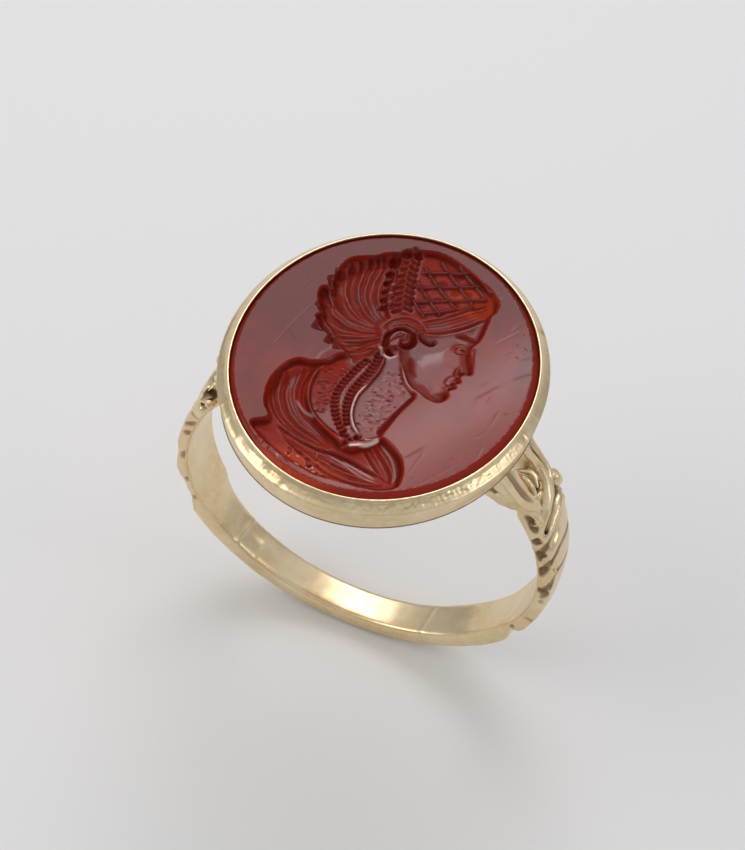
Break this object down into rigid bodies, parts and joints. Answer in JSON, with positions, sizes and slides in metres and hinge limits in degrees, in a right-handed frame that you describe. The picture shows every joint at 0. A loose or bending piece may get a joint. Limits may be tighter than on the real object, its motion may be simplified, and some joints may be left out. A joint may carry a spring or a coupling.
{
  "type": "intaglio gem ring",
  "caption": "Finger ring with an oval carnelian intaglio of a draped bust in a closed collet, pierced scroll shoulders and a plain tapering band.",
  "frame": {"origin": "centre of the finger hole, half way along it", "axes": "+Z through the gem, +Y along the finger towards the top of the engraved head, +X to the right"},
  "size_m": [0.0198, 0.0162, 0.0211],
  "materials": {
    "yellow_gold": "worn satin gold alloy",
    "carnelian": "polished, translucent",
    "setting_cement": "matt"
  },
  "bodies": {
    "root": {"carnelian_intaglio": "carnelian", "bezel_collet": "yellow_gold", "back_plate": "yellow_gold", "bearing_ring": "yellow_gold", "gem_bedding": "setting_cement", "left_shoulder": "yellow_gold", "right_shoulder": "yellow_gold", "left_grains": "yellow_gold", "right_grains": "yellow_gold", "left_shank": "yellow_gold", "sizing_insert": "yellow_gold", "right_shank": "yellow_gold"}
  },
  "joints": []
}
